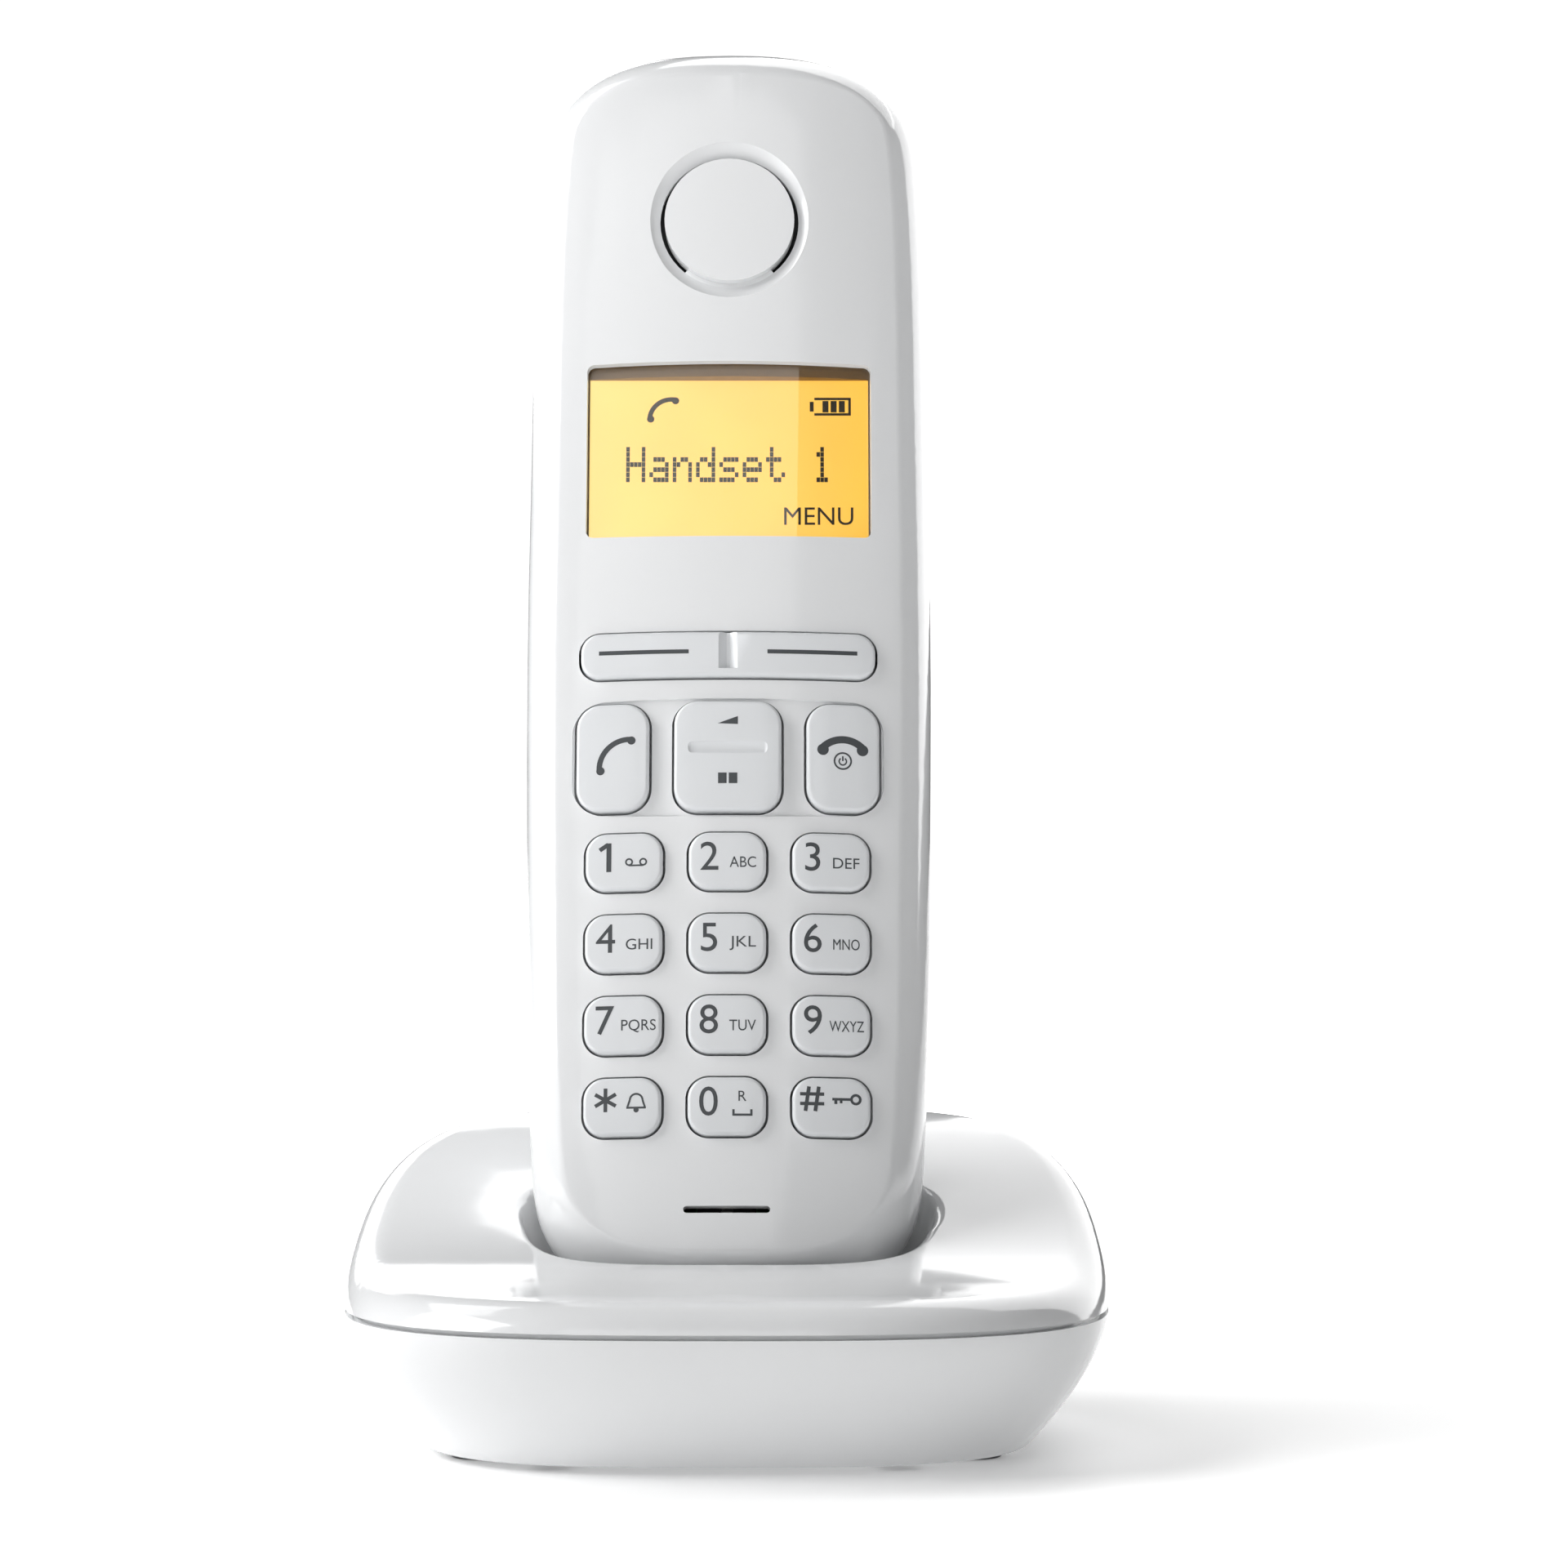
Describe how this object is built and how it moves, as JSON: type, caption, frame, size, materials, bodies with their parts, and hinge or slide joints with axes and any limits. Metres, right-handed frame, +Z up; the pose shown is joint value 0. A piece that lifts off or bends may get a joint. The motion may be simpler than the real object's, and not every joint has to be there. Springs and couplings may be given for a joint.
{
  "type": "cordless phone with base",
  "caption": "Cordless telephone handset leaning in a low charging base, with a twelve-key pad, talk, end, rocker and display keys and a small lit display.",
  "frame": {"origin": "centre of the base's footprint on the table", "axes": "+Z up, -Y towards the user who faces the keys, +X to that user's right"},
  "size_m": [0.086, 0.0902, 0.1615],
  "materials": {
    "shell_abs": "gloss",
    "key_plastic": "satin",
    "cover_abs": "gloss",
    "window_acrylic": "clear gloss",
    "lcd_yellow": "gloss",
    "lightbox_white": "matte",
    "ribbon_amber": "satin",
    "speaker_black": "matte",
    "foam_black": "matte",
    "board_green": "satin",
    "film_clear": "satin",
    "mat_silicone": "matte",
    "tinned_steel": "satin",
    "cell_wrap": "gloss",
    "contact_gold": "polished",
    "spring_steel": "polished",
    "screw_zinc": "satin",
    "jack_black": "satin",
    "capacitor_sleeve": "gloss",
    "foot_rubber": "matte",
    "carrier_nylon": "satin"
  },
  "bodies": {
    "base": {"base_upper_shell": "shell_abs", "base_lower_shell": "shell_abs", "base_board": "board_green", "line_jack": "jack_black", "line_jack_wires": "contact_gold", "power_jack": "jack_black", "power_jack_pin": "contact_gold", "base_shield": "tinned_steel", "base_antennas": "tinned_steel", "base_capacitor": "capacitor_sleeve", "base_screws": "screw_zinc", "base_feet": "foot_rubber", "contact_carrier": "carrier_nylon", "page_board": "board_green", "page_switch": "jack_black"},
    "handset": {"handset_front_shell": "shell_abs", "handset_rear_shell": "shell_abs", "display_window": "window_acrylic", "lcd_panel": "lcd_yellow", "lcd_backlight": "lightbox_white", "lcd_ribbon": "ribbon_amber", "earpiece_speaker": "speaker_black", "earpiece_gasket": "foam_black", "microphone": "tinned_steel", "microphone_boot": "foam_black", "handset_board": "board_green", "dome_film": "film_clear", "keypad_mat": "mat_silicone", "radio_shield": "tinned_steel", "ringer_speaker": "speaker_black", "battery_cell_1": "cell_wrap", "battery_cell_2": "cell_wrap", "battery_plates": "spring_steel", "battery_springs": "spring_steel", "handset_charge_plates": "contact_gold", "handset_screws": "screw_zinc"},
    "battery_cover": {"battery_cover": "cover_abs"},
    "key_1": {"key_1": "key_plastic"},
    "key_2": {"key_2": "key_plastic"},
    "key_3": {"key_3": "key_plastic"},
    "key_4": {"key_4": "key_plastic"},
    "key_5": {"key_5": "key_plastic"},
    "key_6": {"key_6": "key_plastic"},
    "key_7": {"key_7": "key_plastic"},
    "key_8": {"key_8": "key_plastic"},
    "key_9": {"key_9": "key_plastic"},
    "key_star": {"key_star": "key_plastic"},
    "key_0": {"key_0": "key_plastic"},
    "key_hash": {"key_hash": "key_plastic"},
    "talk_key": {"talk_key": "key_plastic"},
    "end_key": {"end_key": "key_plastic"},
    "control_key": {"control_key": "key_plastic"},
    "display_key_bar": {"display_key_bar": "key_plastic"},
    "charge_tongue_left": {"charge_tongue_left": "contact_gold"},
    "charge_tongue_right": {"charge_tongue_right": "contact_gold"},
    "page_key": {"page_key": "key_plastic"}
  },
  "joints": [
    {"name": "handset_lift", "type": "slide", "parent": "base", "child": "handset", "axis": [0, 0.2588, 0.9659], "range_m": [0, 0.045]},
    {"name": "key_1_press", "type": "slide", "parent": "handset", "child": "key_1", "axis": [0, 0.9659, -0.2588], "range_m": [0, 0.0005], "stiffness_N_per_m": 1500, "springref_m": -0.0003},
    {"name": "key_2_press", "type": "slide", "parent": "handset", "child": "key_2", "axis": [0, 0.9659, -0.2588], "range_m": [0, 0.0005], "stiffness_N_per_m": 1500, "springref_m": -0.0003},
    {"name": "key_3_press", "type": "slide", "parent": "handset", "child": "key_3", "axis": [0, 0.9659, -0.2588], "range_m": [0, 0.0005], "stiffness_N_per_m": 1500, "springref_m": -0.0003},
    {"name": "key_4_press", "type": "slide", "parent": "handset", "child": "key_4", "axis": [0, 0.9659, -0.2588], "range_m": [0, 0.0005], "stiffness_N_per_m": 1500, "springref_m": -0.0003},
    {"name": "key_5_press", "type": "slide", "parent": "handset", "child": "key_5", "axis": [0, 0.9659, -0.2588], "range_m": [0, 0.0005], "stiffness_N_per_m": 1500, "springref_m": -0.0003},
    {"name": "key_6_press", "type": "slide", "parent": "handset", "child": "key_6", "axis": [0, 0.9659, -0.2588], "range_m": [0, 0.0005], "stiffness_N_per_m": 1500, "springref_m": -0.0003},
    {"name": "key_7_press", "type": "slide", "parent": "handset", "child": "key_7", "axis": [0, 0.9659, -0.2588], "range_m": [0, 0.0005], "stiffness_N_per_m": 1500, "springref_m": -0.0003},
    {"name": "key_8_press", "type": "slide", "parent": "handset", "child": "key_8", "axis": [0, 0.9659, -0.2588], "range_m": [0, 0.0005], "stiffness_N_per_m": 1500, "springref_m": -0.0003},
    {"name": "key_9_press", "type": "slide", "parent": "handset", "child": "key_9", "axis": [0, 0.9659, -0.2588], "range_m": [0, 0.0005], "stiffness_N_per_m": 1500, "springref_m": -0.0003},
    {"name": "key_star_press", "type": "slide", "parent": "handset", "child": "key_star", "axis": [0, 0.9659, -0.2588], "range_m": [0, 0.0005], "stiffness_N_per_m": 1500, "springref_m": -0.0003},
    {"name": "key_0_press", "type": "slide", "parent": "handset", "child": "key_0", "axis": [0, 0.9659, -0.2588], "range_m": [0, 0.0005], "stiffness_N_per_m": 1500, "springref_m": -0.0003},
    {"name": "key_hash_press", "type": "slide", "parent": "handset", "child": "key_hash", "axis": [0, 0.9659, -0.2588], "range_m": [0, 0.0005], "stiffness_N_per_m": 1500, "springref_m": -0.0003},
    {"name": "talk_key_press", "type": "slide", "parent": "handset", "child": "talk_key", "axis": [0, 0.9659, -0.2588], "range_m": [0, 0.0005], "stiffness_N_per_m": 1500, "springref_m": -0.0003},
    {"name": "end_key_press", "type": "slide", "parent": "handset", "child": "end_key", "axis": [0, 0.9659, -0.2588], "range_m": [0, 0.0005], "stiffness_N_per_m": 1500, "springref_m": -0.0003},
    {"name": "control_key_rock", "type": "hinge", "parent": "handset", "child": "control_key", "pos_m": [0, -0.00021, 0.07741], "axis": [1, 0, 0], "range_deg": [-4, 4], "stiffness_Nm_per_rad": 0.05},
    {"name": "display_key_bar_rock", "type": "hinge", "parent": "handset", "child": "display_key_bar", "pos_m": [0, 0.00341, 0.08896], "axis": [0, 0.2588, 0.9659], "range_deg": [-2.5, 2.5], "stiffness_Nm_per_rad": 0.15},
    {"name": "battery_cover_hinge", "type": "hinge", "parent": "handset", "child": "battery_cover", "pos_m": [0, 0.00817, 0.03509], "axis": [-1, 0, 0], "range_deg": [0, 55]},
    {"name": "charge_tongue_left_flex", "type": "hinge", "parent": "base", "child": "charge_tongue_left", "pos_m": [-0.009, 0.00083, 0.00787], "axis": [1, 0, 0], "range_deg": [0, 6], "stiffness_Nm_per_rad": 0.06, "springref_deg": -5.73},
    {"name": "charge_tongue_right_flex", "type": "hinge", "parent": "base", "child": "charge_tongue_right", "pos_m": [0.009, 0.00083, 0.00787], "axis": [1, 0, 0], "range_deg": [0, 6], "stiffness_Nm_per_rad": 0.06, "springref_deg": -5.73},
    {"name": "page_key_press", "type": "slide", "parent": "base", "child": "page_key", "axis": [0, -1, 0], "range_m": [0, 0.0006], "stiffness_N_per_m": 1500, "springref_m": -0.0003}
  ]
}
